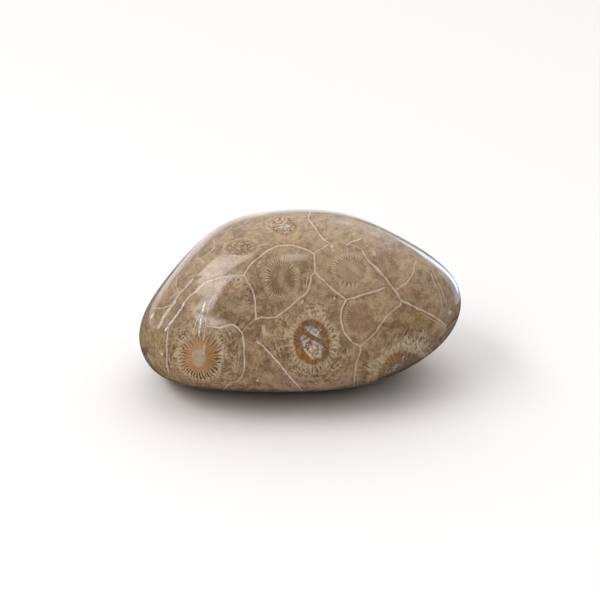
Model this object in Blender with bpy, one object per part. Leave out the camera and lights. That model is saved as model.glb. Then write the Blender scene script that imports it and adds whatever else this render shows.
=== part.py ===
"""A polished piece of fossil coral stone: one smooth, lopsided pebble with a small flat spot to rest on.

Metres, +Z up. The stone's length runs along X, its fuller front looks to -Y, and its origin lies in the middle
of its footprint, on the flat spot that it rests on.
"""

import math

import bmesh
import bpy
from mathutils import Matrix, Vector

MM = 0.001

LENGTH = 60.0 * MM
DEPTH = 41.6 * MM
HEIGHT = 34.2 * MM

# The tumbled pebble is an oval block with these half sizes, set with its left end low and a little forward,
# which broad worn faces press in.
OVAL = Vector((34.0, 22.6, 20.2)) * MM
OVAL_SWING = 6.0  # degrees that the long axis swings from +X towards +Y
OVAL_RISE = 11.0  # degrees that the long axis rises towards its right end

# Tumbling and hand polishing left broad worn faces that melt into each other. Each one is given by the heading
# that it looks to (degrees from +X towards +Y), how far it looks up (degrees), and its distance from the
# middle of the stone.
WORN_FACES = (
    ("front slope", -92.0, 30.0, 18.4 * MM),
    ("front foot", -92.0, -63.0, 17.2 * MM),
    ("crown", 96.0, 65.0, 17.3 * MM),
    ("left shoulder", 164.0, 39.0, 22.0 * MM),
    ("left foot", -150.0, -50.0, 32.0 * MM),
    ("left end", 184.0, -14.0, 34.0 * MM),
    ("right slope", 36.0, 53.0, 19.6 * MM),
    ("right end", 4.0, 8.0, 32.6 * MM),
    ("right underside", -18.0, -36.0, 37.0 * MM),
    ("right foot", -44.0, -54.0, 22.2 * MM),
    ("back", 92.0, 4.0, 21.4 * MM),
    ("back foot", 84.0, -44.0, 20.0 * MM),
    ("back left", 136.0, 6.0, 29.0 * MM),
    ("back right", 46.0, 2.0, 29.0 * MM),
    ("underside", -90.0, -90.0, 17.0 * MM),
)
ROUNDING = 9.0  # the faces melt into each other more as this falls, and meet in edges as it rises

REST_DEPTH = 14.7 * MM  # the flat spot, below the middle of the stone
REST_BLEND = 0.5 * MM  # the height over which the flat spot curves up into the sides

CUTS = 28  # rows of facets along each side of the cube that the pebble is rounded from
STONE_COLOUR = (0.327, 0.231, 0.138, 1.0)


def heading_and_tilt(heading, tilt):
    """The unit vector that looks this way."""
    flat = math.cos(math.radians(tilt))
    return Vector(
        (
            flat * math.cos(math.radians(heading)),
            flat * math.sin(math.radians(heading)),
            math.sin(math.radians(tilt)),
        )
    )


OVAL_TURN = (
    Matrix.Rotation(math.radians(OVAL_SWING), 3, "Z")
    @ Matrix.Rotation(math.radians(-OVAL_RISE), 3, "Y")
).transposed()
FACES = [
    (heading_and_tilt(heading, tilt), distance)
    for _, heading, tilt, distance in WORN_FACES
]


def reach(direction):
    """How far the stone's surface lies from its middle along a unit vector."""
    along = OVAL_TURN @ direction
    oval = Vector([part / half for part, half in zip(along, OVAL)]).length
    pressed = oval**ROUNDING + sum(
        max(0.0, direction.dot(normal) / distance) ** ROUNDING
        for normal, distance in FACES
    )
    return pressed ** (-1.0 / ROUNDING)


def rested(height):
    """A height over the flat spot's plane: flat below it, with a soft bend where the sides begin."""
    if height <= -REST_BLEND:
        return 0.0
    if height >= REST_BLEND:
        return height
    return (height + REST_BLEND) ** 2 / (4.0 * REST_BLEND)


def pebble_mesh():
    """A cube's grid of squares swelled onto the worn faces, then set down on the flat spot."""
    shape = bmesh.new()
    bmesh.ops.create_cube(shape, size=2.0)
    bmesh.ops.subdivide_edges(
        shape, edges=shape.edges, cuts=CUTS - 1, use_grid_fill=True
    )
    for vert in shape.verts:
        even = Vector([math.tan(side * math.pi / 4.0) for side in vert.co])
        spread = Vector((even.x * LENGTH, even.y * DEPTH, even.z * HEIGHT))
        direction = spread.normalized()
        vert.co = direction * reach(direction)
        vert.co.z = rested(vert.co.z + REST_DEPTH)
    low = Vector([min(vert.co[axis] for vert in shape.verts) for axis in range(3)])
    high = Vector([max(vert.co[axis] for vert in shape.verts) for axis in range(3)])
    foot = Vector(((low.x + high.x) / 2.0, (low.y + high.y) / 2.0, low.z))
    for vert in shape.verts:
        vert.co.x = (vert.co.x - foot.x) * LENGTH / (high.x - low.x)
        vert.co.y = (vert.co.y - foot.y) * DEPTH / (high.y - low.y)
        vert.co.z = (vert.co.z - foot.z) * HEIGHT / (high.z - low.z)
    bmesh.ops.recalc_face_normals(shape, faces=shape.faces)
    mesh = bpy.data.meshes.new("coral_stone")
    shape.to_mesh(mesh)
    shape.free()
    mesh.shade_smooth()
    return mesh


def polished_limestone():
    """Fossil limestone, ground and polished: a warm taupe with a wet-looking gloss."""
    material = bpy.data.materials.new("polished_limestone")
    material.use_nodes = True
    shader = material.node_tree.nodes["Principled BSDF"]
    shader.inputs["Base Color"].default_value = STONE_COLOUR
    shader.inputs["Roughness"].default_value = 0.12
    shader.inputs["Metallic"].default_value = 0.0
    return material


for old in list(bpy.data.objects):
    bpy.data.objects.remove(old, do_unlink=True)

stone = bpy.data.objects.new("coral_stone", pebble_mesh())
stone.data.materials.append(polished_limestone())
bpy.context.scene.collection.objects.link(stone)
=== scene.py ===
"""A polished piece of fossil colony coral, dressed over its solid: one limestone pebble whose ground surface
cuts across the coral's cups. Metres, +Z up, in the solid's own frame."""

import math

import bpy
import numpy as np
from mathutils import Matrix, Quaternion, Vector
from mathutils.bvhtree import BVHTree


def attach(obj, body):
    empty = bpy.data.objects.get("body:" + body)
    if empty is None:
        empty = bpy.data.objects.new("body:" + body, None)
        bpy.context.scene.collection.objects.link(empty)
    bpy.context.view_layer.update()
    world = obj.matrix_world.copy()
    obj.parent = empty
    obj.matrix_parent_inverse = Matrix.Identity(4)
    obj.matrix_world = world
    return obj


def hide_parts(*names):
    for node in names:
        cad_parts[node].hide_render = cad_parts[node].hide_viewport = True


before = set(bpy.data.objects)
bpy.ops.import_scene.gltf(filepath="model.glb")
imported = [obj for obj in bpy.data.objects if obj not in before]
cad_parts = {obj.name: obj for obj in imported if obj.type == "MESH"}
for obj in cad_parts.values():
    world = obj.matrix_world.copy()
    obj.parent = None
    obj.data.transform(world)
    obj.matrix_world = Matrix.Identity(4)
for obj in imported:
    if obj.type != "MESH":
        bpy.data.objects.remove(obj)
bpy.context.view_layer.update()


# The camera looks along the stone's short way and down on it, as the photograph does. It comes first, because
# the coral's cups and walls are laid on the stone where this view shows them.
MM = 0.001
PHOTO_SIDE = 600  # pixels across the square photograph
PIXEL = 0.1869 * MM  # what one pixel measures at the stone
CAMERA_TILT = math.radians(26.0)
CAMERA_REACH = 450.0 * MM
AIM = Vector((0.0, 0.0, 15.28 * MM))

sight = Vector((0.0, math.cos(CAMERA_TILT), -math.sin(CAMERA_TILT)))
picture_right = Vector((1.0, 0.0, 0.0))
picture_up = picture_right.cross(sight)
eye = AIM - sight * CAMERA_REACH

camera_data = bpy.data.cameras.new("camera")
camera_data.angle = 2.0 * math.atan(PHOTO_SIDE * PIXEL / 2.0 / CAMERA_REACH)
camera_data.clip_start = 10.0 * MM
camera = bpy.data.objects.new("camera", camera_data)
camera.location = eye
camera.rotation_euler = sight.to_track_quat("-Z", "Y").to_euler()
bpy.context.scene.collection.objects.link(camera)
bpy.context.scene.camera = camera


# The stone is one piece of limestone that was a coral colony, tumbled to a pebble and polished all over. Its
# skin is the solid's own surface, rounded off between the facets as the polish left it.
JOIN = 0.001 * MM
PAIR_BEND = math.radians(60.0)  # the most that two triangles may bend and still be paired
ROUNDINGS = 2

bpy.ops.object.select_all(action="DESELECT")
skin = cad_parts["coral_stone"].copy()
skin.data = skin.data.copy()
skin.name = "polished_stone"
skin.data.name = "polished_stone"
bpy.context.scene.collection.objects.link(skin)
bpy.context.view_layer.objects.active = skin
skin.select_set(True)
bpy.ops.object.mode_set(mode="EDIT")
bpy.ops.mesh.select_all(action="SELECT")
bpy.ops.mesh.remove_doubles(threshold=JOIN)
bpy.ops.mesh.tris_convert_to_quads(face_threshold=PAIR_BEND, shape_threshold=PAIR_BEND)
bpy.ops.object.mode_set(mode="OBJECT")
rounding = skin.modifiers.new("rounding", "SUBSURF")
rounding.levels = ROUNDINGS
rounding.render_levels = ROUNDINGS
bpy.ops.object.modifier_apply(modifier=rounding.name)
bpy.ops.object.shade_smooth()

mesh = skin.data
vertex_places = np.empty(len(mesh.vertices) * 3)
mesh.vertices.foreach_get("co", vertex_places)
vertex_places = vertex_places.reshape(-1, 3)
corner_vertices = np.empty(len(mesh.loops), dtype=np.int64)
mesh.loops.foreach_get("vertex_index", corner_vertices)
facet_corners = np.empty(len(mesh.polygons), dtype=np.int64)
mesh.polygons.foreach_get("loop_total", facet_corners)
corner_facets = np.repeat(np.arange(len(mesh.polygons)), facet_corners)
corners = vertex_places[corner_vertices]
centres = np.empty(len(mesh.polygons) * 3)
mesh.polygons.foreach_get("center", centres)
centres = centres.reshape(-1, 3)
outward = np.empty(len(mesh.polygons) * 3)
mesh.polygons.foreach_get("normal", outward)
outward = outward.reshape(-1, 3)
towards_eye = np.array(eye) - centres
towards_eye /= np.linalg.norm(towards_eye, axis=1)[:, None]
facing = (outward * towards_eye).sum(axis=1)
surface = BVHTree.FromPolygons(
    [tuple(place) for place in vertex_places], [tuple(facet.vertices) for facet in mesh.polygons]
)


def on_stone(pixel_x, pixel_y):
    """The point of the stone under a pixel of the photograph, or None beside the stone."""
    across = float(pixel_x - PHOTO_SIDE / 2.0) * PIXEL * picture_right
    down = float(pixel_y - PHOTO_SIDE / 2.0) * PIXEL * picture_up
    ray = sight * CAMERA_REACH + across - down
    return surface.ray_cast(eye, ray.normalized())[0]


# An oval whose middle misses the stone moves by this share of its way to the middle of the picture at a time.
# An axis whose two ends both miss the stone is taken from these shares of its length.
INWARD = 0.01
SHORTER = (1.0, 0.5, 0.25, 0.1)


def oval_on_stone(pixel_x, pixel_y, half_length, half_width, turn):
    """The middle and the two half axes, on the stone, of an oval given in pixels and degrees from level."""
    middle = on_stone(pixel_x, pixel_y)
    while middle is None:
        pixel_x += INWARD * (PHOTO_SIDE / 2.0 - pixel_x)
        pixel_y += INWARD * (PHOTO_SIDE / 2.0 - pixel_y)
        middle = on_stone(pixel_x, pixel_y)
    turn = math.radians(turn)
    ways = (
        (math.cos(turn) * half_length, -math.sin(turn) * half_length),
        (-math.sin(turn) * half_width, -math.cos(turn) * half_width),
    )
    axes = []
    for way_x, way_y in ways:
        for share in SHORTER:
            ahead = on_stone(pixel_x + way_x * share, pixel_y + way_y * share)
            behind = on_stone(pixel_x - way_x * share, pixel_y - way_y * share)
            if ahead or behind:
                break
        ahead = ahead or 2.0 * middle - behind
        behind = behind or 2.0 * middle - ahead
        axes.append((ahead - behind) / (2.0 * share))
    return middle, *axes


def store(name, values):
    """Keeps a value for each corner of each facet, three or four numbers long, for the material to read."""
    values = np.ascontiguousarray(values, dtype=np.float32)
    kind, key = ("FLOAT_VECTOR", "vector") if values.shape[1] == 3 else ("FLOAT_COLOR", "color")
    mesh.attributes.new(name, kind, "CORNER").data.foreach_set(key, values.reshape(-1))


def linear(code):
    """The linear colour of an sRGB hex value."""
    parts = [int(code[start : start + 2], 16) / 255.0 for start in (1, 3, 5)]
    return [part / 12.92 if part <= 0.04045 else ((part + 0.055) / 1.055) ** 2.4 for part in parts]


# The cups: each animal of the colony sat in a cup with some forty blades of calcite round an open middle, now
# filled with mud that iron has stained. The polish cuts them across, straight or at a slant.
CUP_LOOKS = {
    # The stain's colour, strength and reach; the dark gaps between the blades, with their strength, start and
    # end, the side that they are strongest on in degrees and how much weaker the far side is; the pale halo,
    # with its strength, start and end; the speckle; how rough the mud round the cup is; and how pale its
    # middle is. Reaches are shares of the cup's radius.
    "amber": ("#b08a62", 0.88, 0.93, 1.0, 0.78, 1.08, -85, 0.75, 0.9, 1.0, 1.24, 0.0, 1.0, 0.0),
    "rust": ("#7d583a", 0.95, 1.0, 0.6, 1.08, 1.26, -25, 0.6, 0.9, 1.0, 1.32, 0.1, 1.0, 0.0),
    "ashen": ("#846a50", 0.35, 0.62, 0.5, 0.6, 0.98, 120, 0.45, 0.36, 0.85, 1.36, 0.0, 0.3, 0.3),
    "wan": ("#9f866c", 0.42, 0.75, 0.55, 0.8, 0.96, 140, 1.0, 0.5, 0.8, 1.2, 0.0, 0.2, 0.15),
    "rosy": ("#93735a", 0.5, 1.0, 0.2, 0.66, 0.98, 195, 0.7, 0.3, 0.95, 1.3, 0.0, 0.3, 0.15),
    "ginger": ("#a0744c", 0.85, 0.96, 0.4, 0.7, 0.96, 150, 0.3, 1.0, 0.96, 1.14, 0.7, 0.3, 0.0),
    "sandy": ("#8d7350", 0.65, 0.9, 0.4, 0.5, 0.88, 170, 0.5, 1.0, 0.92, 1.18, 0.45, 0.35, 0.0),
    "tawny": ("#8d7459", 0.22, 0.95, 0.45, 0.6, 1.05, 75, 0.6, 0.25, 0.85, 1.2, 0.1, 0.35, 0.0),
    "slant": ("#7b6856", 0.9, 1.0, 0.4, 1.0, 1.3, 110, 0.5, 1.0, 1.0, 1.55, 0.0, 1.0, 0.0),
    "dim": ("#8e7558", 0.2, 0.9, 0.15, 0.5, 0.9, 0, 0.5, 0.15, 0.9, 1.15, 0.0, 0.15, 0.0),
}

# The cups that the photograph shows: the middle, half the width and half the height in its pixels, and how
# far each leans from upright, in degrees.
SEEN_CUPS = {
    "low left": (199.5, 357.5, 19.0, 21.3, 0, "amber"),
    "low middle": (312.0, 342.0, 18.2, 22.3, 9, "rust"),
    "middle": (281.0, 278.5, 15.3, 19.0, 4, "ashen"),
    "right of middle": (351.0, 270.0, 17.9, 15.4, -8, "wan"),
    "small right": (360.0, 318.0, 14.0, 15.6, 0, "rosy"),
    "low right": (400.0, 371.0, 24.0, 17.0, 32, "slant"),
    "top": (282.6, 223.7, 15.5, 8.6, -4, "ginger"),
    "upper left": (240.6, 247.0, 16.8, 8.4, 6, "sandy"),
    "above low left": (233.5, 291.0, 13.5, 13.5, 0, "tawny"),
    "top right": (340.0, 226.0, 13.0, 5.0, -6, "dim"),
    "right": (389.5, 261.0, 13.0, 13.0, 0, "dim"),
    "right end": (451.0, 287.0, 7.0, 12.0, 0, "dim"),
    "left end": (167.0, 295.0, 7.0, 12.0, 0, "dim"),
}
cups = []
for pixel_x, pixel_y, half_width, half_height, lean, look in SEEN_CUPS.values():
    cups.append((*oval_on_stone(pixel_x, pixel_y, half_width, half_height, lean), look))

# On the sides that the photograph doesn't show, the cups stand as close as on the side that it does.
CUP_SPACING = 11.5 * MM
SMALLEST_CUP = 2.3 * MM
LARGEST_CUP = 3.5 * MM
NARROWEST_CUP = 0.75  # its width as a share of its length
OUT_OF_SIGHT = -0.12  # how far a facet faces the camera, from 1 straight at it to -1 straight away
HIDDEN_LOOKS = ("ashen", "wan", "rosy", "dim", "amber", "sandy", "wan", "rust", "ashen", "ginger", "tawny")
dice = np.random.default_rng(41)
for facet in dice.permutation(len(centres)):
    place = Vector(centres[facet])
    if facing[facet] > OUT_OF_SIGHT or min((place - cup[0]).length for cup in cups) < CUP_SPACING:
        continue
    upright = Vector(outward[facet])
    across = (Matrix.Rotation(dice.uniform(0.0, math.pi), 3, upright) @ upright.orthogonal()).normalized()
    size = dice.uniform(SMALLEST_CUP, LARGEST_CUP)
    squeeze = dice.uniform(NARROWEST_CUP, 1.0)
    look = HIDDEN_LOOKS[len(cups) % len(HIDDEN_LOOKS)]
    cups.append((place, across * size, upright.cross(across) * size * squeeze, look))

# Each corner gets its place in its nearest cup, in cup radii, for the material to draw the cup from. A large
# cup reaches out further than a small one.
CUP_PULL = 0.5
cup_middles = np.array([cup[0] for cup in cups])
cup_sizes = np.array([(cup[1].length + cup[2].length) / 2.0 for cup in cups])
inverses = np.array([np.linalg.pinv(np.stack([cup[1], cup[2]], axis=1)) for cup in cups])
spread = np.linalg.norm(centres[:, None] - cup_middles, axis=2) - CUP_PULL * cup_sizes
owner = np.argmin(spread, axis=1)[corner_facets]
offset = corners - cup_middles[owner]
cup_place = np.einsum("nij,nj->ni", inverses[owner], offset)
compass = np.degrees(np.arctan2(cup_place[:, 1], cup_place[:, 0]))
looks = [CUP_LOOKS[cup[3]] for cup in cups]
stains = np.array([linear(look[0]) + [look[1]] for look in looks])
numbers = np.array([look[2:] for look in looks])
reach, strength, start, end, side, lull, halo, halo_start, halo_end, speckle, rough, heart = numbers[owner].T
turned = 0.5 - 0.5 * np.cos(np.radians(compass - side))
store("cup_place", np.column_stack([cup_place, np.zeros(len(corners))]))
store("cup_stain", stains[owner])
store("cup_gaps", np.column_stack([strength * (1.0 - lull * turned), start, end, reach]))
store("cup_halo", np.column_stack([halo, halo_start, halo_end, speckle]))
store("cup_kind", np.column_stack([owner, rough, heart]))


# The walls: thin sheets of calcite parted the animals, and the polish shows them as pale lines a third of a
# millimetre wide. Some of the lines carry bluish white painted in as a glint, a reflection of the room, and
# one has opened as a dark crack.
SEEN_WALLS = {
    # Strength, width in millimetres, tone (0 cream, 1 a painted bluish-white glint, -1 dark), and the course
    # in pixels.
    "over the middle cup": (1.0, 0.36, 0.0, (244, 275.5), (246, 271.6), (252, 263), (261, 255.5), (271, 249),
        (280, 245.5), (292, 245.5), (302, 248), (309.4, 251), (314, 253.6)),
    "up to the top right": (0.9, 0.3, 0.0, (314, 253.6), (322, 248), (330, 242.8)),
    "over the top": (1.0, 0.34, 0.0, (330, 242.8), (323, 239.3), (317, 230.8), (311, 222.4), (308.3, 218),
        (309.4, 213.4), (310.5, 210), (312, 206)),
    "beside the top cup": (0.4, 0.24, 0.0, (307, 216.5), (298, 216.5)),
    "above the right cup": (0.5, 0.26, 0.0, (330, 242.8), (343, 243.3), (356, 246.3), (361.7, 249.7)),
    "curl above the right cup": (0.8, 0.3, 0.2, (347, 245), (351, 242), (358, 240), (361, 238)),
    "between middle and right": (0.95, 0.34, 0.0, (314, 253.6), (314.8, 263), (315, 272.3)),
    "right of the middle cup": (0.82, 0.34, 0.0, (315, 272.3), (311.7, 276), (309.4, 285), (306.3, 293),
        (298, 299.4), (291, 306), (283, 312), (276, 316.8), (268.4, 317.8), (261, 317.5), (256, 319.5)),
    "its inner twin": (0.6, 0.26, 0.0, (308, 277), (306.5, 283), (305.6, 287.6)),
    "left of the middle cup": (0.95, 0.34, 0.0, (244, 275.5), (247.4, 281.5), (252, 289), (254.7, 300),
        (256, 319.5)),
    "down to the corner": (0.5, 0.26, 0.0, (256, 319.5), (253, 320.6), (247, 326.7), (242.5, 331.3)),
    "right cup to small cup": (0.95, 0.34, 0.0, (315, 272.3), (325, 282), (336, 292), (346, 299.5)),
    "over the small cup": (0.85, 0.34, 0.0, (346, 299.5), (355, 297.3), (364, 294.4), (375, 291.3),
        (384.7, 287.6)),
    "crack under it": (0.55, 0.2, -1.0, (361, 298), (368, 295.9), (375, 293.6)),
    "left of the small cup": (0.95, 0.36, 0.0, (346, 299.5), (341.6, 310), (341.2, 321.5), (344.8, 332.6),
        (352, 341.4), (360, 346.2)),
    "right of the small cup": (0.72, 0.32, 0.0, (360, 346.2), (366, 341.4), (374, 334), (380, 325.5),
        (389.4, 313.5), (400.6, 304.7)),
    "under the small cup": (0.8, 0.32, 0.0, (360, 346.2), (360, 352), (356.3, 363.7), (354.8, 375.7),
        (354, 384), (353.5, 392)),
    "long right wall": (0.9, 0.36, 0.0, (361.7, 249.7), (368.6, 260.7), (377.6, 268.6), (385.5, 278.6),
        (395.3, 291), (401.4, 300), (408.6, 304), (423.7, 311), (435.7, 317.5), (446, 326.3)),
    "its thick part": (0.7, 0.62, 0.1, (375.5, 266.8), (379, 271), (382.5, 275)),
    "its twin at the end": (0.6, 0.24, 0.0, (420, 312.5), (429, 317.5), (438, 323), (445.5, 328.5)),
    "joint at the right": (0.6, 0.28, 0.0, (400.6, 304.7), (401.4, 300)),
    "spur above it": (0.6, 0.26, 0.0, (361.7, 248.7), (365.5, 246), (369.6, 243.8)),
    "branch at the right": (0.8, 0.3, 0.0, (396.5, 289.5), (405.4, 283.5), (412.4, 274.6), (414.4, 264.6),
        (416.4, 260.7)),
    "open crack at the end": (1.0, 0.3, -1.0, (447, 327), (451.6, 321.5), (458, 316), (462, 312)),
    "left from the middle": (0.95, 0.34, 0.1, (244, 275.5), (234.4, 275.4), (223, 277.3), (213.8, 279.6),
        (206, 282.3), (200, 287), (196.6, 290.8), (190.5, 295.4), (185.5, 301)),
    # A real wall with a bluish-white reflection painted along it.
    "wall at the left with a painted glint": (1.0, 0.42, 0.9, (185.5, 301), (182.5, 306.5), (173.7, 319), (170.2, 323),
        (165.2, 330.6)),
    "left of the amber cup": (0.9, 0.34, 0.1, (168.7, 326.7), (167.2, 337), (166.8, 348), (166.8, 362.7),
        (169, 374.2)),
    "foot, outward": (0.6, 0.28, 0.0, (169, 374.2), (166, 379), (161, 384)),
    "foot, inward": (0.8, 0.3, 0.0, (169, 374.2), (176.7, 380.3), (184.4, 386), (192, 394)),
    "right of the amber cup": (0.85, 0.36, 0.1, (207, 326), (216.5, 327.5), (224, 326.7), (231.8, 324.4),
        (238, 328.3), (242.5, 334.4), (243.7, 345), (244.4, 362.7), (243.3, 372.6), (238.7, 380.3),
        (230.3, 383), (225, 388), (221, 394)),
    "spur at its foot": (0.4, 0.24, 0.0, (243, 378), (244.8, 382), (246.4, 386.4)),
    "left of the rust cup": (0.95, 0.36, 0.25, (257, 341.6), (264.4, 347.6), (271.7, 355.6), (280.5, 365),
        (287.8, 374.4), (295.2, 383), (300.5, 388.8), (304, 394)),
    "squiggle at the low right": (0.9, 0.34, 0.2, (402, 342), (405, 345), (409.4, 347), (414.2, 343.8),
        (417, 340.6), (419.7, 337.4), (423.7, 330.2)),
    "its lower arm": (0.9, 0.34, 0.2, (417, 341), (417.4, 344.5), (419.7, 349.4), (423.7, 355), (427, 360)),
    "down from the top left": (0.7, 0.3, 0.0, (252.8, 215), (247.4, 221), (241.3, 225.7), (233.7, 229.5)),
    "loop at the left": (0.75, 0.28, 0.0, (213, 239.4), (214.5, 244.8), (211.5, 251), (203, 257)),
    "foot of the loop": (0.7, 0.26, 0.0, (196.5, 258.5), (200, 259.5), (204.6, 263)),
    "wisp along the left slope": (0.7, 0.3, 0.0, (190, 255), (182, 266), (177, 276), (176.5, 285)),
    "second wisp": (0.6, 0.24, 0.0, (196, 262), (190, 270), (185, 277)),
    "third wisp": (0.6, 0.26, 0.1, (181, 291), (172.5, 296), (167.5, 302)),
    "left end": (0.75, 0.28, 0.0, (154, 308.4), (162, 308), (170.6, 305)),
    "thread at the left": (0.75, 0.26, 0.0, (174, 281), (178, 291), (179, 293)),
    "tail of the upper left cup": (0.6, 0.26, 0.0, (252, 247.5), (256.6, 246.3), (263, 244.6),
        (269.6, 244)),
    "growth line at the end": (0.55, 0.42, 0.0, (431, 273), (432.6, 279), (435.6, 286), (440, 295),
        (441.9, 305)),
    "thread over the low right": (0.45, 0.22, 0.0, (399, 328), (396, 337), (392.6, 344)),
    "second thread there": (0.45, 0.24, 0.0, (406, 329), (403.5, 334), (400.6, 339)),
    "second growth line": (0.5, 0.36, 0.0, (432.5, 271), (437, 280), (440.8, 288), (445, 300),
        (447.5, 306)),
    "third thread there": (0.45, 0.22, 0.0, (411, 327), (408, 334), (403, 342), (397, 348)),
    "fourth thread there": (0.4, 0.22, 0.0, (392, 334), (388, 341), (383, 350), (380, 358)),
    "swirl at the low right": (0.45, 0.24, 0.0, (447, 330), (441, 334), (438, 340), (440, 347)),
    "second swirl there": (0.4, 0.22, 0.0, (451, 334), (446, 339), (444, 347)),
    # A painted reflection of something bright on the ridge, laid as a pale streak with a broad foot.
    "painted reflection streak at the left": (0.75, 0.36, 0.5, (192.9, 279), (186.6, 286.3), (184, 289), (177, 296.8),
        (174.6, 302)),
    "broad foot of that painted reflection": (0.7, 0.75, 0.5, (174.6, 302), (169.7, 308.5), (163.4, 317), (162, 321),
        (158.4, 327.5)),
    # Painted reflections: three whitish streaks over the amber cup.
    "painted reflection over the amber cup": (1.0, 0.36, 0.8, (205.4, 302), (203.6, 307), (201.5, 317), (200, 326),
        (198.8, 336)),
    "second painted reflection there": (0.7, 0.26, 0.35, (211, 300), (208.6, 305), (206.5, 315), (205.5, 324),
        (204.6, 332), (203.5, 340)),
    "third painted reflection there": (0.7, 0.26, 0.2, (203.5, 307), (199, 316), (196, 323), (192.8, 332.8)),
    "hair over the low right cup": (0.6, 0.22, 0.0, (382.5, 360), (380.8, 355), (382.5, 348.3)),
    "second hair there": (0.6, 0.22, 0.0, (385.8, 357.5), (385, 352.5), (387.5, 346.7)),
    "third hair there": (0.6, 0.22, 0.0, (390, 355.8), (390.8, 350), (395, 343.3), (397.5, 335)),
    "fourth hair there": (0.55, 0.22, 0.0, (379.2, 365), (374.2, 361.7), (371.7, 356.7)),
    "fifth hair there": (0.5, 0.22, 0.0, (377.5, 370), (370.8, 369.2), (365, 366.7)),
    "sixth hair there": (0.5, 0.22, 0.0, (396.7, 353.3), (398.3, 348.3), (402.5, 343.3)),
}
WALL_STEP = 2.0  # pixels between the points that a wall is laid through
RUN_ON_STEP = 0.5 * MM
RUN_ON_LIMIT = 12.0 * MM
RUN_ON_POINTS = 400
ROUND_THE_EDGE = -0.05  # how far the surface faces the camera there, as with the facets
WELL_ROUND = -0.2
HIDDEN_WALL_STRENGTH = 0.8
HIDDEN_WALL_WIDTH = 0.34 * MM
WAVE = 0.9 * MM
WAVE_LENGTH = 2.6 * MM


def waved(places):
    """Places moved about a little, so that walls laid halfway between the cups wander."""
    return places + WAVE * np.sin(places[:, [1, 2, 0]] / WAVE_LENGTH + np.array([0.4, 1.9, 3.1]))


def smooth_course(points):
    """A smooth course through pixel points, in even steps."""
    points = np.array(points, dtype=float)
    padded = np.vstack([2.0 * points[0] - points[1], points, 2.0 * points[-1] - points[-2]])
    course = []
    for first, here, there, last in zip(padded, padded[1:], padded[2:], padded[3:]):
        pieces = max(1, round(np.linalg.norm(there - here) / WALL_STEP))
        bend = 2.0 * first - 5.0 * here + 4.0 * there - last
        twist = 3.0 * here - first - 3.0 * there + last
        for share in np.arange(pieces) / pieces:
            course.append(here + ((there - first) * share + bend * share**2 + twist * share**3) / 2.0)
    course.append(points[-1])
    return course


def run_on(course):
    """Carries a wall that leaves the picture's side of the stone on to the next wall on the hidden side."""
    heading = (course[-1] - course[-2]).normalized()
    edge = course[-1]
    cell = None
    while (course[-1] - edge).length < RUN_ON_LIMIT and len(course) < RUN_ON_POINTS:
        step, upright, _, _ = surface.find_nearest(course[-1] + heading * RUN_ON_STEP)
        heading = (step - course[-1]).normalized()
        course.append(step)
        seen = upright.dot((eye - step).normalized())
        nearest = np.argmin(np.linalg.norm(waved(np.array([step])) - cup_middles, axis=1))
        if seen < WELL_ROUND and cell is not None and nearest != cell:
            break
        cell = nearest if seen < ROUND_THE_EDGE else None
    return course


starts = []
ends = []
wall_looks = []
wall_numbers = []
begins = []
stops = []
for number, (strength, width, tone, *pixels) in enumerate(SEEN_WALLS.values()):
    course = [on_stone(*pixel) for pixel in smooth_course(pixels)]
    leaves_picture = any(place is None for place in course)
    course = [place for place in course if place]
    if leaves_picture:
        course = run_on(course)
    for piece, (here, there) in enumerate(zip(course, course[1:])):
        starts.append(here)
        ends.append(there)
        wall_looks.append((strength, width * MM / 2.0, tone))
        wall_numbers.append(number)
        begins.append(piece == 0)
        stops.append(piece == len(course) - 2)
starts = np.array(starts)
runs = np.array(ends) - starts
run_squares = (runs**2).sum(axis=1)
wall_looks = np.array(wall_looks)
wall_numbers = np.array(wall_numbers)
begins = np.array(begins)
stops = np.array(stops)

# Each facet knows its two nearest walls, and its corners keep the nearest point of each. The facets are gone
# through in batches, to spare memory.
near_walls = np.zeros((len(centres), 2), dtype=np.int64)
wall_gaps = np.zeros((len(centres), 2))
BATCH = 4000
OUT_OF_REACH = 1.0  # metres
for batch in range(0, len(centres), BATCH):
    rows = slice(batch, batch + BATCH)
    away = centres[rows, None] - starts
    share = np.clip((away * runs).sum(axis=2) / run_squares, 0.0, 1.0)
    gap = np.linalg.norm(away - share[..., None] * runs, axis=2)
    for layer in range(2):
        nearest = np.argmin(gap, axis=1)
        near_walls[rows, layer] = nearest
        wall_gaps[rows, layer] = gap[np.arange(len(gap)), nearest]
        gap[wall_numbers == wall_numbers[nearest][:, None]] = OUT_OF_REACH

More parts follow.
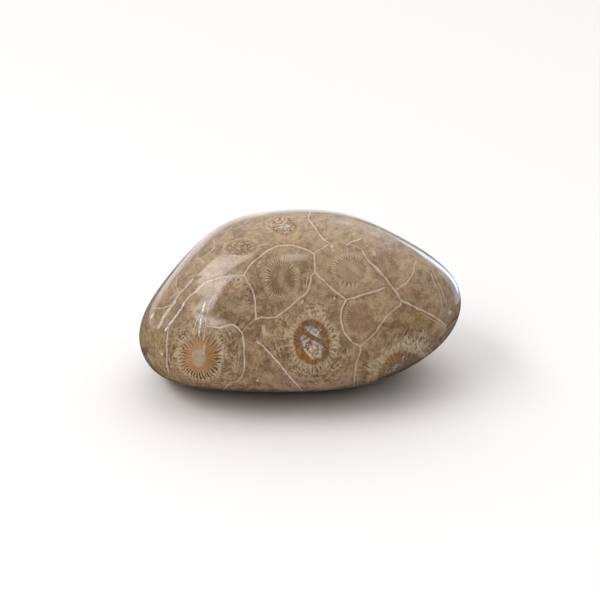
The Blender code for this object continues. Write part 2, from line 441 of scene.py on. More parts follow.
# On the hidden sides a wall stands halfway between two cups, and fades out where the seen walls take over.
GROWN_START = -0.02
GROWN_FADE = 0.2
SEEN_WALL_ROOM = 1.2 * MM
ranks = np.argsort(np.linalg.norm(waved(centres)[:, None] - cup_middles, axis=2), axis=1)[:, :3]
hidden = np.clip((GROWN_START - facing) / GROWN_FADE, 0.0, 1.0)[corner_facets]
for layer, name in enumerate(("near_wall", "next_wall")):
    wall = near_walls[:, layer][corner_facets]
    share = ((corners - starts[wall]) * runs[wall]).sum(axis=1) / run_squares[wall]
    share = np.where(begins[wall], np.maximum(share, 0.0), share)
    share = np.where(stops[wall], np.minimum(share, 1.0), share)
    foot = starts[wall] + share[:, None] * runs[wall]
    mine = cup_middles[ranks[:, 0]][corner_facets]
    other = cup_middles[ranks[:, layer + 1]][corner_facets]
    way = (other - mine) / np.linalg.norm(other - mine, axis=1)[:, None]
    height = ((waved(corners) - (mine + other) / 2.0) * way).sum(axis=1)
    grown = corners - height[:, None] * way
    half_width = np.full(len(hidden), HIDDEN_WALL_WIDTH / 2.0)
    grown_look = np.column_stack([HIDDEN_WALL_STRENGTH * hidden, half_width, np.zeros(len(hidden))])
    own = (hidden > 0.0) & (wall_gaps[:, layer][corner_facets] > SEEN_WALL_ROOM)
    store(name, np.where(own[:, None], grown, foot))
    store(name + "_look", np.where(own[:, None], grown_look, wall_looks[wall]))


# The mud between the cups is paler or browner in broad patches, and iron has stained some of it orange.
# A few patches are painted light: a highlight at the top edge, sheen near the top right, and paler colour
# along the down-facing foot.
MUD_COLOUR = "#a08567"
MUD_AND_PAINTED_LIGHT_PATCHES = {
    # The middle, half the length and half the width in pixels, the turn from level in degrees, the colour and
    # how strong it is.
    "pale band over the walls": (292, 241, 68, 15, 3, "#bc9f7d", 0.7),
    "pale right shoulder": (352, 248, 46, 20, -20, "#b59b81", 0.7),
    "pale left slope": (205, 262, 36, 22, 45, "#a08468", 0.5),
    "brown of the middle cell": (282, 290, 29, 28, 0, "#745b40", 0.9),
    "brown at the corner": (250, 312, 18, 30, 0, "#775c41", 0.85),
    "brown under the star": (233, 309, 19, 14, 0, "#5c442a", 1.0),
    "cream at the star": (233, 281.5, 16, 9.5, 5, "#e0cdb5", 1.0),
    "brown low cell": (256, 352, 18, 38, 0, "#785e41", 0.75),
    "brown right of the amber cup": (232, 352, 12, 27, 0, "#7e664a", 0.8),
    "brown under the right cup": (334, 287, 12, 18, 40, "#84684e", 0.5),
    "brown of the small cell": (364, 318, 22, 26, 0, "#8d7053", 0.6),
    "brown low right cell": (390, 331, 34, 17, 30, "#705839", 0.9),
    "pale round the rust cup": (308, 340, 28, 38, 0, "#a99173", 0.35),
    "brown left of the low right cup": (371, 367, 10, 15, 0, "#654d31", 1.0),
    "brown above the low right cup": (409, 338, 15, 8, 20, "#654e33", 0.9),
    "brown right of the rust cup": (342, 354, 10, 26, 0, "#7a6145", 0.8),
    "dull far right": (392, 262, 22, 22, 0, "#8f765b", 0.5),
    "grey at the low right": (434, 343, 22, 14, 35, "#82776c", 0.8),
    "grey right end": (450, 300, 13, 25, 15, "#898079", 0.8),
    "rose over the right wall": (420, 313, 26, 6, -30, "#94765d", 0.5),
    "olive stain": (422, 319.5, 14, 5.5, -28, "#8f7c4a", 0.85),
    # A grey band along the foot, made much paler as painted light against the shade on its down-facing side.
    "grey and painted light along the foot": (322, 390, 56, 5, 2, "#c9bbaa", 0.95),
    "grey foot of the left": (233, 393, 30, 4, 0, "#8f7e69", 0.6),
    "tan at the left end": (153, 355, 12, 24, -10, "#8f7a58", 0.6),
    "pale left of the amber cup": (174, 352, 8, 27, 0, "#b79c79", 0.75),
    "pale round the right cup": (344, 267, 34, 24, 0, "#b49a7c", 0.65),
    "brown by the streak": (272, 346, 20, 13, -40, "#604a2e", 0.9),
    "streak over the middle cup": (294, 256, 13, 4, 12, "#c6b29b", 0.8),
    # A painted highlight along the top edge.
    "painted highlight at the top edge": (262, 212, 14, 3.6, 9, "#d9caaa", 0.75),
    # Near the top right edge: a milky patch with painted sheen, and beyond it a painted grey-pink sheen.
    "milk and painted sheen at the top right": (342, 221, 22, 6, -10, "#b0a090", 0.5),
    "painted sheen beyond it": (382, 235, 21, 8, -29, "#bfb4ae", 0.75),
    "dull top left": (224, 238, 22, 12, 35, "#93775a", 0.55),
}
IRON_PATCHES = {
    "gold on the amber cup's left": (187, 361, 9, 15, 0, "#b88d58", 0.6),
    "pink on the amber cup's top": (193, 343, 13, 8, 20, "#b08e6d", 0.8),
    "brown on the amber cup's right": (213, 357, 9, 16, 0, "#966b3f", 0.8),
    "brown at the rust cup's top": (311, 323, 13, 6, -10, "#70503a", 0.7),
    "orange under the rust cup": (311, 361, 14, 6, -15, "#96693a", 0.7),
    "orange at the rust cup's left": (299, 352, 7, 10, 20, "#8a6037", 0.6),
    "orange in the low right cup": (393, 359, 18, 4.6, 34, "#a0703f", 0.95),
    "grey in the low right cup": (394, 370.5, 17, 6, 30, "#7d6f62", 0.9),
    "orange at the top cup's right": (294, 223, 8, 7, 0, "#b28350", 0.6),
    "olive at the upper left cup's right": (251, 246, 6, 6, 0, "#8c6f3f", 0.6),
}
PATCH_EDGE = 1.35  # where a patch ends and over how much of that it fades, as shares of its half sizes
PATCH_FADE = 0.9
PATCH_LIMIT = 2.0  # half lengths from its middle, so that it doesn't show on the back as well
for name, base, patches in (("mud_and_painted_light", MUD_COLOUR, MUD_AND_PAINTED_LIGHT_PATCHES), ("iron", None, IRON_PATCHES)):
    tint = np.tile(linear(base) if base else [0.0, 0.0, 0.0], (len(corners), 1))
    cover = np.zeros(len(corners))
    for *oval, colour, strength in patches.values():
        middle, length, width = (np.array(part) for part in oval_on_stone(*oval))
        away = corners - middle
        share = np.linalg.norm(away @ np.linalg.pinv(np.stack([length, width])), axis=1)
        near = np.linalg.norm(away, axis=1) < PATCH_LIMIT * np.linalg.norm(length)
        share = strength * near * np.clip((PATCH_EDGE - share) / PATCH_FADE, 0.0, 1.0)
        full = share + (1.0 - share) * (1.0 if base else cover)
        tint += (np.array(linear(colour)) - tint) * (share / np.maximum(full, 1e-6))[:, None]
        cover = share + (1.0 - share) * cover
    store(name, np.column_stack([tint, cover]))

# The flecks: pockets in the cups are filled with quartz and calcite, and crumbs of shell lie between the
# walls. In the rust cup's pocket some flecks also paint the light and shade of its crystal faces.
FLECKS = {
    # The middle, half the length and half the width in pixels, the turn from level in degrees, the colour,
    # how solid it is, and how soft its edge is.
    "grey middle of the amber cup": (198.5, 357.5, 9.6, 6.6, 84, "#b39e84", 0.9, 0.15),
    "pale streak in the amber cup": (203.6, 352, 8.0, 1.1, 84, "#c6b299", 0.85, 0.4),
    # The rust cup's pocket: the blue crystal's bluish grey is a painted sky reflection, the edge under it is
    # painted light, the flesh crystals are pink crystal with painted light on their faces, and the mauve and
    # the dark fleck in the smoky crystal are painted shade.
    "blue crystal": (313.3, 331.0, 8.0, 3.4, -31, "#7b868b", 0.95, 0.2),
    "painted lit edge of the blue crystal": (315.0, 334.4, 6.6, 1.5, -31, "#bfae9b", 0.9, 0.3),
    "dark end of the blue crystal": (320.0, 330.2, 1.9, 1.4, 0, "#5b4237", 0.8, 0.5),
    "smoky crystal": (305.2, 341.6, 6.4, 4.8, -58, "#84746b", 0.95, 0.2),
    "white in the smoky crystal": (304.0, 338.6, 2.6, 1.3, -35, "#b9aca2", 0.85, 0.4),
    "painted shade in the smoky crystal": (308.0, 347.0, 3.0, 1.5, -50, "#54403a", 0.8, 0.4),
    "flesh crystal": (313.4, 348.2, 6.2, 4.8, -38, "#c09474", 1.0, 0.2),
    "pale flesh crystal": (317.2, 353.4, 5.4, 4.4, -38, "#b8a28b", 0.95, 0.2),
    "cream rim of the crystals": (308.6, 353.4, 7.6, 1.7, -48, "#c3b29a", 0.9, 0.3),
    "blue rim of the crystals": (320.4, 347.4, 5.4, 2.2, -56, "#8f979a", 0.9, 0.3),
    "painted shade between the crystals": (310.6, 341.0, 4.0, 1.6, -50, "#8b7470", 0.8, 0.4),
    "grey over the flesh crystal": (314.4, 343.0, 5.6, 2.0, -34, "#948479", 0.85, 0.3),
    "smoky pocket": (393.0, 369.0, 9.0, 2.6, 26, "#7c6f66", 0.85, 0.4),
    "white in the smoky pocket": (394.6, 368.6, 2.6, 1.2, 20, "#ab9c88", 0.8, 0.4),
    "blue in the smoky pocket": (405.0, 358.0, 2.8, 2.0, 10, "#737679", 0.85, 0.4),
    "white grains in the top cup": (285.0, 226.6, 6.0, 2.6, 4, "#a99c90", 0.75, 0.5),
    "white dot in the top cup": (281.0, 227.4, 2.4, 1.0, 10, "#cfc8bf", 0.8, 0.5),
    "white dash in the top cup": (288.6, 225.6, 2.6, 0.8, -10, "#cbc2b8", 0.8, 0.5),
    "pale spindle in the middle cup": (281.0, 277.6, 7.5, 2.6, 86, "#a4927c", 0.75, 0.7),
    "milk over the middle cup": (295.0, 256.8, 10.5, 3.4, -6, "#c3b2a1", 0.75, 0.8),
    "glint over the middle cup": (282.3, 257.8, 3.0, 1.3, 80, "#cdc0b4", 0.7, 0.6),
    "pale heart of the right cup": (354.0, 268.5, 8.0, 2.6, -48, "#b7a48e", 0.7, 0.7),
    # A milky patch with painted sheen.
    "milk and painted sheen at the top right": (346.0, 222.6, 10.0, 1.8, -6, "#c3b09c", 0.5, 0.7),
    "crumb left of the rust cup": (263.7, 330.0, 5.4, 2.0, 96, "#bba88c", 0.9, 0.4),
    "its foot": (265.6, 334.0, 2.4, 1.4, 10, "#bba88c", 0.8, 0.4),
    "hook by the small cup": (334.7, 298, 2.4, 1.1, 60, "#c5b097", 0.9, 0.4),
    "dark in the hook": (336.4, 296.8, 1.3, 1.0, 0, "#563c2a", 0.8, 0.4),
    "hook under the middle cup": (302.4, 301.6, 2.8, 1.0, 66, "#cfbda5", 0.9, 0.4),
    "dark by that hook": (304.2, 300.2, 1.7, 0.8, 66, "#5a402c", 0.8, 0.4),
    "crumb near the top": (325.5, 239, 3.0, 0.9, 20, "#cfbda5", 0.8, 0.4),
    "crumb right of the top": (332, 246.5, 1.2, 2.2, 10, "#d6c6b0", 0.9, 0.4),
    "dot in the cream": (333, 249.7, 1.0, 1.0, 0, "#d6c6b0", 0.9, 0.4),
    "crumb by the middle cup": (259.6, 262.6, 2.8, 1.2, 40, "#c4b095", 0.8, 0.5),
    "crumb under it": (258.0, 266.2, 2.0, 0.9, 0, "#c4b095", 0.8, 0.5),
    "hook at the left end": (152, 316, 3.4, 1.1, 62, "#d9ccb9", 0.95, 0.4),
    "dot at the left": (161.8, 354, 1.3, 1.3, 0, "#dccfb9", 0.95, 0.4),
    "dot on the left wall": (167, 366.5, 1.2, 1.2, 0, "#dccfb9", 0.95, 0.4),
    "dot at the right end": (450, 312.3, 1.9, 1.7, 0, "#c9bcab", 0.95, 0.4),
    "dot right of the spur": (374.0, 253.0, 1.6, 3.0, 20, "#c9b8a0", 0.85, 0.5),
    "crumb right of the spur": (371.0, 250.6, 2.6, 0.9, 20, "#b9a68a", 0.8, 0.5),
    "second dot there": (353.7, 233.8, 1.3, 1.3, 0, "#c4b49a", 0.7, 0.5),
    "third dot there": (372.6, 232.8, 1.5, 1.0, 40, "#c4b49a", 0.6, 0.5),
    "dot at the foot": (257.5, 380.5, 1.3, 1.1, 0, "#cdbfa6", 0.95, 0.4),
    "second dot at the foot": (322, 383, 1.6, 1.0, 20, "#b9a98e", 0.7, 0.5),
    "pore at the corner": (237, 325, 1.8, 1.6, 0, "#4e3022", 0.9, 0.5),
    "second pore at the corner": (241.5, 330, 1.2, 1.0, 0, "#5a3a29", 0.8, 0.5),
    "pore at the top left": (233.7, 230, 1.6, 1.1, 30, "#6a4836", 0.7, 0.5),
    "pore by the left wall": (250.5, 291, 1.2, 2.2, 20, "#543a2a", 0.8, 0.5),
    "second pore there": (252.5, 297, 0.9, 2.2, 0, "#543a2a", 0.7, 0.5),
    "arms of the orange star": (231.5, 288.0, 9.4, 1.5, -14, "#8f6038", 0.75, 0.7),
    "cross arms of the star": (230.5, 286.5, 6.4, 1.3, 50, "#966339", 0.75, 0.7),
    "upright arm of the star": (231.0, 284.8, 5.6, 1.1, 104, "#9a693d", 0.75, 0.7),
    "fourth arm of the star": (236.4, 285.2, 5.0, 1.0, 28, "#9a693d", 0.7, 0.7),
    "gap under the wall": (227.4, 280.4, 0.9, 1.5, 0, "#6b4a33", 0.8, 0.5),
    "second gap under the wall": (233.6, 279.6, 0.9, 1.5, 0, "#6b4a33", 0.8, 0.5),
    "third gap under the wall": (238.4, 279.8, 1.0, 1.4, 0, "#6b4a33", 0.8, 0.5),
    "pore right of the star": (245.0, 284.6, 1.3, 1.3, 0, "#644430", 0.85, 0.5),
    "second pore right of it": (247.8, 289.0, 1.2, 1.6, 0, "#644430", 0.85, 0.5),
    "third pore right of it": (246.6, 296.0, 1.1, 1.3, 0, "#6b4a33", 0.8, 0.5),
    "chip at the left end": (144.5, 351.0, 5.0, 2.2, -50, "#6b5a4b", 0.9, 0.3),
    "pale rim of the chip": (149.5, 357.5, 8.5, 0.9, -62, "#c0b09a", 0.8, 0.4),
    "grey in the chip": (147.5, 362.0, 7.0, 2.6, -62, "#877c70", 0.8, 0.4),
    "dark gap under the right cup": (343.0, 282.4, 0.8, 2.2, -20, "#543e2b", 0.8, 0.4),
    "second gap there": (347.0, 284.0, 0.8, 2.2, -10, "#543e2b", 0.8, 0.4),
    "third gap there": (351.0, 284.6, 0.8, 2.2, 0, "#543e2b", 0.8, 0.4),
    "fourth gap there": (355.0, 284.2, 0.8, 2.0, 10, "#5e4833", 0.7, 0.4),
    "pale swirl in the small cup": (361.0, 316.0, 5.0, 2.0, 30, "#9f8470", 0.5, 0.9),
    "grey stone past the crack": (458.5, 325, 11.0, 3.6, 66, "#8f8a83", 0.85, 0.4),
}
FLECK_LIMIT = 3.0  # half sizes from its middle, as the next two are
OFF_THE_FLECK = 9.0
NOT_NEAR = 50.0
# Flecks named with these words get the full painted light and shade on facets; the others a faint share.
PAINTED_FACET_WORDS = ("crystal", "smoky", "top cup")
FAINT_PAINTED_FACETS = 0.2
ovals = []
for name, (*oval, colour, body, softness) in FLECKS.items():
    middle, length, width = oval_on_stone(*oval)
    inverse = np.linalg.pinv(np.stack([length, width], axis=1))
    size = max(length.length, width.length)
    painted_facet_light = 1.0 if any(word in name for word in PAINTED_FACET_WORDS) else FAINT_PAINTED_FACETS
    ovals.append((np.array(middle), inverse, linear(colour) + [body], softness, painted_facet_light, size))
middles, inverses, colours, softnesses, painted_facet_lights, sizes = (np.array(column) for column in zip(*ovals))
away = centres[:, None] - middles
share = np.linalg.norm(np.einsum("mij,nmj->nmi", inverses, away), axis=2)
share[np.linalg.norm(away, axis=2) > FLECK_LIMIT * sizes] = NOT_NEAR
owner = np.argmin(share, axis=1)[corner_facets]
far = (share.min(axis=1) > FLECK_LIMIT)[corner_facets]
place = np.einsum("nij,nj->ni", inverses[owner], corners - middles[owner])
place[far] = OFF_THE_FLECK
store("fleck_place", np.column_stack([place, np.zeros(len(corners))]))
store("fleck_colour", colours[owner])
store("fleck_edge_and_painted_facets", np.column_stack([1.0 + softnesses[owner], 1.0 - softnesses[owner], painted_facet_lights[owner]]))


# Polished coral limestone is fine lime mud and calcite, ground and buffed with no lacquer: taupe mud, paler
# blades and walls, and a gloss that mirrors the room.
limestone = bpy.data.materials.new("polished_coral_limestone")
limestone.use_nodes = True
tree = limestone.node_tree
tree.nodes.clear()


def add(kind, feeds=(), give=0, **settings):
    """Adds a node with its settings, links or sets its sockets, and gives one of its outputs."""
    made = tree.nodes.new("ShaderNode" + kind)
    for key, value in settings.items():
        setattr(made, key, value)
    for key, value in (feeds if isinstance(feeds, dict) else dict(enumerate(feeds))).items():
        if isinstance(value, bpy.types.NodeSocket):
            tree.links.new(value, made.inputs[key])
        else:
            made.inputs[key].default_value = value
    return made.outputs[give]


# The sizes of the patterns, in millimetres. The real grain is finer than the picture can show, so it is drawn
# at two pixels.
CLOUD_SIZE = 5.0
PATCH_SIZE = 2.2
MOTTLE_SIZE = 1.2
STIR_SIZE = 0.8
CRUMB_SIZE = 0.75
RAGGED_SIZE = 0.7
CRYSTAL_SIZE = 0.42
GRAIN_SIZE = 0.38
SPECK_SIZE = 0.34
WALL_SWAY_SIZE = 1.1
SOFTLY = {"interpolation_type": "SMOOTHSTEP"}
TIMES = {"operation": "MULTIPLY"}
PLUS = {"operation": "ADD"}
LESS = {"operation": "SUBTRACT"}
place = add("VectorMath", {0: add("TexCoord", give="Object"), "Scale": 1.0 / MM}, operation="SCALE")
clouds = add("TexNoise", {"Vector": place, "Scale": 1.0 / CLOUD_SIZE, "Detail": 2.0})
mottling = add("TexNoise", {"Vector": place, "Scale": 1.0 / MOTTLE_SIZE, "Detail": 4.0, "Roughness": 0.6})
grain = add("TexNoise", {"Vector": place, "Scale": 1.0 / GRAIN_SIZE, "Detail": 3.0, "Roughness": 0.7})
stir = add("TexNoise", {"Vector": place, "Scale": 1.0 / STIR_SIZE, "Detail": 1.0})
patches = add("TexNoise", {"Vector": place, "Scale": 1.0 / PATCH_SIZE, "Detail": 1.0})
ragged = add("TexNoise", {"Vector": place, "Scale": 1.0 / RAGGED_SIZE, "Detail": 3.0, "Roughness": 0.65})
crumbs = add("TexNoise", {"Vector": place, "Scale": 1.0 / CRUMB_SIZE, "Detail": 1.5, "Distortion": 1.4})

# The cup's own directions: how far out a point is, in cup radii, and its bearing round the middle.
cup_place = add("Attribute", give="Vector", attribute_name="cup_place")
out = add("VectorMath", {0: cup_place}, "Value", operation="LENGTH")
out = add("Math", (add("Math", (stir, 0.5), **LESS), 0.2, out), operation="MULTIPLY_ADD")
bearing = add("TexGradient", {"Vector": cup_place}, "Fac", gradient_type="RADIAL")
kind = add("Attribute", give="Vector", attribute_name="cup_kind")
number, rough, heart = add("SeparateXYZ", {0: kind}).node.outputs
stain = add("Attribute", give="Color", attribute_name="cup_stain")
gaps = add("Attribute", give="Color", attribute_name="cup_gaps")
halo = add("Attribute", give="Color", attribute_name="cup_halo")
gap_strength, gap_start, gap_end = add("SeparateColor", {0: gaps}).node.outputs
halo_strength, halo_start, halo_end = add("SeparateColor", {0: halo}).node.outputs
stain_reach = gaps.node.outputs["Alpha"]
speckle = halo.node.outputs["Alpha"]

# Fibres run out from the middle, and growth lines run round it, where the animal laid thin floors as it grew.
ring_way = add("VectorMath", {0: cup_place}, operation="NORMALIZE")
fibre_way = add("VectorMath", {0: ring_way, "Scale": 12.0}, operation="SCALE")
fibre_out = add("CombineXYZ", (0.0, number, add("Math", (out, 1.8), **TIMES)))
fibre_place = add("VectorMath", (fibre_way, fibre_out), **PLUS)
fibres = {"Vector": fibre_place, "Scale": 1.0, "Detail": 2.0, "Roughness": 0.6, "Distortion": 0.5}
fibres = add("TexNoise", fibres)
line_way = add("VectorMath", {0: ring_way, "Scale": 2.4}, operation="SCALE")
line_out = add("CombineXYZ", (0.0, number, add("Math", (out, 9.0), **TIMES)))
line_place = add("VectorMath", (line_way, line_out), **PLUS)
growth = {"Vector": line_place, "Scale": 1.0, "Detail": 2.0, "Roughness": 0.5, "Distortion": 0.9}
growth = add("TexNoise", growth)

# Rough mud: crumbs and growth lines, in patches, strongest near the cup.
beyond = add("MapRange", (out, 1.0, 1.2), **SOFTLY)
nearness = add("MapRange", (out, 2.6, 1.3, 0.35, 1.0), **SOFTLY)
roughness = add("Math", (add("Math", (beyond, nearness), **TIMES), rough), **TIMES)
patchy = add("MapRange", (patches, 0.36, 0.56, 0.35, 1.0), **SOFTLY)
roughness = add("Math", (roughness, patchy), **TIMES)

# Blades: some forty rays with dark gaps between them where mud has filled in.
BLADES = 38
swing = add("Math", (bearing, 2.0 * math.pi * BLADES), **TIMES)
wander = add("Math", (rough, 5.0, 5.0), operation="MULTIPLY_ADD")
swing = add("Math", (stir, wander, swing), operation="MULTIPLY_ADD")
rays = add("Math", {0: swing}, operation="SINE")
gap_in = add("Math", (gap_start, 0.1), **LESS)
gap_in_full = add("Math", (gap_start, 0.06), **PLUS)
gap_out = add("Math", (gap_end, 0.08), **PLUS)
gap_rise = add("MapRange", (out, gap_in, gap_in_full), **SOFTLY)
gap_fall = add("MapRange", (out, gap_out, gap_end), **SOFTLY)
gap_share = add("Math", (add("Math", (gap_rise, gap_fall), **TIMES), gap_strength), **TIMES)
gap_uneven = add("MapRange", (fibres, 0.35, 0.55, 0.45, 1.0), **SOFTLY)
gap_share = add("Math", (gap_share, gap_uneven), **TIMES)
gap_dark = add("Math", (gap_share, add("MapRange", (rays, -0.1, 0.7), **SOFTLY)), **TIMES)
blade_out = add("Math", (gap_end, 0.3), **PLUS)
blade_rise = add("MapRange", (out, gap_in, gap_end), **SOFTLY)
blade_fall = add("MapRange", (out, blade_out, gap_end), **SOFTLY)
blade_share = add("Math", (add("Math", (blade_rise, blade_fall), **TIMES), gap_strength), **TIMES)
blade_pale = add("Math", (blade_share, add("MapRange", (rays, 0.2, -0.6, 0.0, 0.85), **SOFTLY)), **TIMES)

# The iron stain fills the cup in strands that follow the blades, and the pale halo ends in ragged strokes.
stain_out = add("Math", (stain_reach, 0.07), **PLUS)
stain_full = add("Math", (stain_reach, 0.07), **LESS)
stain_share = add("MapRange", (out, stain_out, stain_full), **SOFTLY)
stain_share = add("Math", (stain_share, stain.node.outputs["Alpha"]), **TIMES)
streaked = add("Math", (stain_share, add("MapRange", (out, 0.35, 0.8), **SOFTLY)), **TIMES)
strands = add("Math", (rays, -0.07, fibres), operation="MULTIPLY_ADD")
stain_dark = add("Math", (streaked, add("MapRange", (strands, 0.5, 0.36, 0.0, 0.62), **SOFTLY)), **TIMES)
stain_pale = add("Math", (streaked, add("MapRange", (strands, 0.52, 0.66, 0.0, 0.45), **SOFTLY)), **TIMES)
halo_full = add("Math", (halo_start, 0.1), **PLUS)
halo_rise = add("MapRange", (out, halo_start, halo_full), **SOFTLY)
spiky = add("Math", (rough, 1.5, 0.3), operation="MULTIPLY_ADD")
halo_edge = add("Math", (add("Math", (fibres, 0.5), **LESS), spiky, halo_end), operation="MULTIPLY_ADD")
halo_edge_in = add("Math", (halo_edge, 0.22), **LESS)
halo_fall = add("MapRange", (out, halo_edge, halo_edge_in), **SOFTLY)
halo_share = add("Math", (add("Math", (halo_rise, halo_fall), **TIMES), halo_strength), **TIMES)
halo_share = add("Math", (halo_share, add("MapRange", (ragged, 0.3, 0.6, 0.4, 0.95), **SOFTLY)), **TIMES)
heart_share = add("Math", (add("MapRange", (out, 0.5, 0.1), **SOFTLY), heart), **TIMES)
specks = add("SeparateColor", {0: add("TexVoronoi", {"Vector": place, "Scale": 1.0 / SPECK_SIZE}, "Color")})
speckled = add("Math", (add("MapRange", (out, 0.95, 0.7), **SOFTLY), speckle), **TIMES)
speck_pale = add("Math", (add("MapRange", (specks, 0.66, 0.74), **SOFTLY), speckled), **TIMES)
speck_dark = add("Math", (add("MapRange", (specks, 0.3, 0.22), **SOFTLY), speckled), **TIMES)
# The mud colour, with the patches of painted highlight, sheen and light along the foot in it.
mud_and_painted_light = add("Attribute", give="Color", attribute_name="mud_and_painted_light")
iron = add("Attribute", give="Color", attribute_name="iron")
iron_share = add("Math", (iron.node.outputs["Alpha"], stain_share), **TIMES)

# The layers over the mud, from the lowest up. First come its drifts and what is rough near the cups, each
# with a pattern, start, end, strength and colour, and then the marks, each with its share and colour.
DRIFTS = (
    (clouds, 0.5, 0.3, 0.64, "#7e6449"),
    (clouds, 0.5, 0.7, 0.66, "#b89d7b"),
    (patches, 0.5, 0.3, 0.55, "#7b6147"),
    (patches, 0.5, 0.7, 0.5, "#b69d7d"),
    (mottling, 0.52, 0.32, 0.55, "#785e43"),
    (mottling, 0.48, 0.68, 0.55, "#baa384"),
    (grain, 0.53, 0.7, 0.55, "#c5b092"),
    (grain, 0.45, 0.29, 0.55, "#674f37"),
)
ROUGH_MARKS = (
    (growth, 0.49, 0.41, 0.8, "#6b5137"),
    (growth, 0.52, 0.59, 0.75, "#baa685"),
    (crumbs, 0.46, 0.38, 0.65, "#6b5137"),
    (crumbs, 0.53, 0.6, 0.75, "#bca989"),
)
layers = []
for pattern, start, end, strength, colour in DRIFTS + ROUGH_MARKS:
    drift = add("MapRange", (pattern, start, end, 0.0, strength), **SOFTLY)
    if pattern in (growth, crumbs):
        drift = add("Math", (drift, roughness), **TIMES)
    layers.append((drift, colour))
layers += [
    (halo_share, "#c0ac8e"),
    (heart_share, "#a4937d"),
    (stain_share, stain),
    (iron_share, iron),
    (stain_dark, "#604127"),
    (stain_pale, "#be9a70"),
    (blade_pale, "#ccb99c"),
    (gap_dark, "#4b341f"),
    (speck_pale, "#cec0aa"),
    (speck_dark, "#604930"),
]

# Flecks have ragged edges, and paler and darker faces are painted on them as light and shade on crystal
# facets, fully on the crystals and faintly on the rest.
crystals = add("TexVoronoi", {"Vector": place, "Scale": 1.0 / CRYSTAL_SIZE}, "Color")
crystals = add("SeparateColor", {0: crystals}, 1)
mark = add("Attribute", give="Vector", attribute_name="fleck_place")
colour = add("Attribute", give="Color", attribute_name="fleck_colour")
solidity = colour.node.outputs["Alpha"]
edge = add("Attribute", give="Vector", attribute_name="fleck_edge_and_painted_facets")
edge_out, edge_in, painted_facet_light = add("SeparateXYZ", {0: edge}).node.outputs
away = add("VectorMath", {0: mark}, "Value", operation="LENGTH")
away = add("Math", (add("Math", (ragged, 0.5), **LESS), 0.9, away), operation="MULTIPLY_ADD")
share = add("Math", (add("MapRange", (away, edge_out, edge_in), **SOFTLY), solidity), **TIMES)
# Painted light and shade on the facets: some cells are lit towards #e0d8ce and some shaded towards #55463c.
bright = add("Math", (add("MapRange", (crystals, 0.45, 0.85, 0.0, 0.5), **SOFTLY), painted_facet_light), **TIMES)
dark = add("Math", (add("MapRange", (crystals, 0.45, 0.1, 0.0, 0.55), **SOFTLY), painted_facet_light), **TIMES)
colour = add("Mix", {0: bright, 6: colour, 7: (*linear("#e0d8ce"), 1.0)}, 2, data_type="RGBA")
colour = add("Mix", {0: dark, 6: colour, 7: (*linear("#55463c"), 1.0)}, 2, data_type="RGBA")
layers.append((share, colour))

# The walls waver by about a tenth of a millimetre at most, with a darker seam along each side, and the
# painted glints break into strings of beaded spots.
SWAY = 0.35 * MM  # times noise that runs from about -0.3 to 0.3
sway = add("TexNoise", {"Vector": place, "Scale": 1.0 / WALL_SWAY_SIZE, "Detail": 2.0}, "Color")
sway = add("VectorMath", (sway, (0.5, 0.5, 0.5)), **LESS)
sway = add("VectorMath", {0: sway, "Scale": SWAY}, operation="SCALE")
swayed = add("VectorMath", (add("TexCoord", give="Object"), sway), **PLUS)
wear = add("MapRange", (mottling, 0.32, 0.52, 0.5, 1.0), **SOFTLY)
# Where the painted glints break into beaded spots.
painted_glint_beads = add("MapRange", (grain, 0.4, 0.52), **SOFTLY)
for name in ("next_wall", "near_wall"):
    foot = add("Attribute", give="Vector", attribute_name=name)
    look = add("Attribute", give="Vector", attribute_name=name + "_look")
    strength, half_width, tone = add("SeparateXYZ", {0: look}).node.outputs
    away = add("VectorMath", (swayed, foot), "Value", operation="DISTANCE")
    away = add("Math", (away, half_width), operation="DIVIDE")
    line = add("Math", (add("MapRange", (away, 1.25, 0.45), **SOFTLY), strength), **TIMES)
    line = add("Math", (line, wear), **TIMES)
    seam = add("Math", (add("MapRange", (away, 3.4, 1.2, 0.0, 0.22), **SOFTLY), strength), **TIMES)
    # The tone blends the wall's cream towards #eef1f6, a bluish white painted in as a glinting reflection.
    clear = {0: tone, 6: (*linear("#cfbea8"), 1.0), 7: (*linear("#eef1f6"), 1.0)}
    clear = add("Mix", clear, 2, data_type="RGBA")
    broken = add("Mix", {0: tone, 2: 1.0, 3: painted_glint_beads})
    opened = add("Math", (tone, -1.0), **TIMES)
    shade = add("Mix", {0: opened, 6: clear, 7: (*linear("#3a2416"), 1.0)}, 2, data_type="RGBA")
    layers.append((seam, "#6d543b"))
    layers.append((add("Math", (line, broken), **TIMES), shade))

body = mud_and_painted_light
for share, colour in layers:
    colour = (*linear(colour), 1.0) if isinstance(colour, str) else colour
    body = add("Mix", {0: share, 6: body, 7: colour}, 2, data_type="RGBA")

# Calcite's IOR lies between 1.49 and 1.66. Paler mud takes a slightly softer gloss.
STONE_IOR = 1.52
BUFFING_DEPTH = 0.02 * MM
buffing = add("Bump", {"Strength": 0.1, "Distance": BUFFING_DEPTH, "Height": grain})
gloss = add("MapRange", (mottling, 0.3, 0.7, 0.06, 0.11), **SOFTLY)
shader = add("BsdfPrincipled", {"Base Color": body, "Roughness": gloss, "IOR": STONE_IOR, "Normal": buffing})
tree.links.new(shader, tree.nodes.new("ShaderNodeOutputMaterial").inputs["Surface"])

skin.data.materials.clear()
skin.data.materials.append(limestone)
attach(skin, "root")
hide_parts("coral_stone")


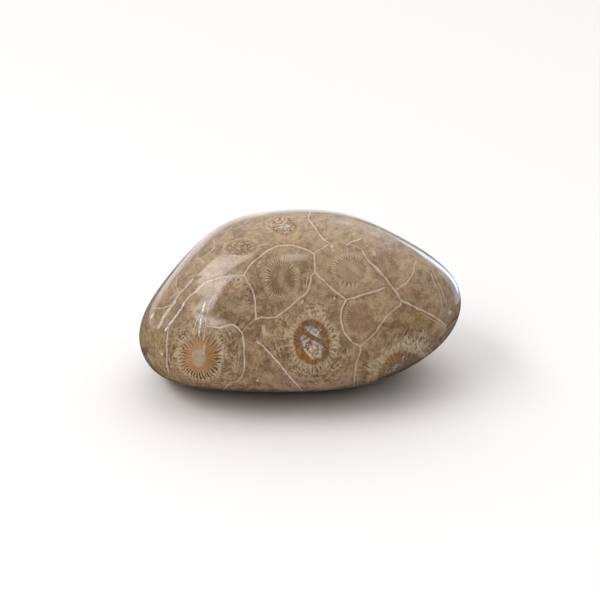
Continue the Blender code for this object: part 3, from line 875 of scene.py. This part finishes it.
# The studio is a plain floor of matt white paper under soft light. It isn't part of the stone. The stone's
# gloss sees only the part of the floor behind it, because the room in front of it is dim.
FLOOR_SIDE = 4.0
SHEET_RIGHT = 0.031
SHEET_FRONT = 0.07
SHEET_SIDE = 1.5
SHEET_RISE = 0.01 * MM
paper = bpy.data.materials.new("pale_paper")
paper.use_nodes = True
paper_shader = paper.node_tree.nodes["Principled BSDF"]
paper_shader.inputs["Base Color"].default_value = (*linear("#f3f3f3"), 1.0)
paper_shader.inputs["Roughness"].default_value = 0.9
sheet_middle = (SHEET_RIGHT - SHEET_SIDE / 2.0, SHEET_FRONT + SHEET_SIDE / 2.0, SHEET_RISE)
for name, side, location in (
    ("studio_floor", FLOOR_SIDE, (0.0, 0.0, 0.0)),
    ("floor_behind", SHEET_SIDE, sheet_middle),
):
    bpy.ops.object.select_all(action="DESELECT")
    bpy.ops.mesh.primitive_plane_add(size=side, location=location)
    floor = bpy.context.object
    floor.name = name
    floor.visible_glossy = name == "floor_behind"
    floor.data.materials.append(paper)

# The room's pale walls and ceiling light the stone from above and behind. Each glow is given by the way that
# it lies in and how bright it is there, and falls off round it.
GLOWS = (
    (Vector((0.0, 0.0, 1.0)), 0.48),
    (Vector((0.0, 0.71, 0.71)), 1.03),
    (Vector((-0.71, 0.0, 0.71)), 0.23),
    (Vector((0.71, 0.0, 0.71)), 0.39),
)
world = bpy.data.worlds.new("studio")
world.use_nodes = True
tree = world.node_tree
way = add("TexCoord", give="Generated")
glow = 0.0
for direction, strength in GLOWS:
    lobe = add("VectorMath", (way, tuple(direction)), "Value", operation="DOT_PRODUCT")
    lobe = add("Math", (add("Math", (lobe, 0.0), operation="MAXIMUM"), 2.0), operation="POWER")
    glow = add("Math", (lobe, strength, glow), operation="MULTIPLY_ADD")
tree.nodes["Background"].inputs["Color"].default_value = (1.0, 0.99, 0.98, 1.0)
tree.links.new(glow, tree.nodes["Background"].inputs["Strength"])
bpy.context.scene.world = world

# Each window is a softbox: the heading and the height that it shines from in degrees, its distance, width and
# height in metres, how far it leans, how bright it is, and its colour.
WINDOWS = {
    "window": (-163.4, 54.9, 0.919, 0.66, 0.175, 13, 5.0, (1.0, 0.96, 0.95)),
    "second pane": (-145.6, 48.5, 0.9, 0.59, 0.082, -2, 4.9, (1.0, 0.96, 0.95)),
    "third pane": (-137.6, 43.3, 0.91, 0.46, 0.078, -7, 4.9, (1.0, 0.96, 0.96)),
    "fourth pane": (-125.3, 36.0, 0.961, 0.22, 0.11, -2, 4.6, (1.0, 0.96, 0.97)),
    "sill": (-118.7, 28.0, 1.041, 0.32, 0.068, -6, 4.4, (0.95, 0.96, 1.03)),
    "end of the sill": (-133.6, 32.2, 0.953, 0.26, 0.045, -28, 3.2, (0.97, 0.96, 1.0)),
    "rim window": (66.4, -7.1, 1.009, 0.22, 0.44, 0, 2.1, (0.58, 0.86, 1.3)),
    "rim window glow": (58.7, -7.1, 1.01, 0.65, 0.6, -1, 0.66, (0.8, 0.92, 1.14)),
}
for name, (heading, rise, distance, width, height, lean, radiance, colour) in WINDOWS.items():
    heading = math.radians(heading)
    rise = math.radians(rise)
    way = Vector((math.cos(heading) * math.cos(rise), math.sin(heading) * math.cos(rise), math.sin(rise)))
    light = bpy.data.lights.new(name, "AREA")
    light.shape = "RECTANGLE"
    light.size = width
    light.size_y = height
    light.energy = radiance * math.pi * width * height
    light.color = colour
    lamp = bpy.data.objects.new(name, light)
    lamp.location = AIM + way * distance
    aim = way.to_track_quat("Z", "Y") @ Quaternion((0.0, 0.0, 1.0), math.radians(lean))
    lamp.rotation_euler = aim.to_euler()
    bpy.context.scene.collection.objects.link(lamp)

bpy.context.scene.view_settings.view_transform = "Standard"
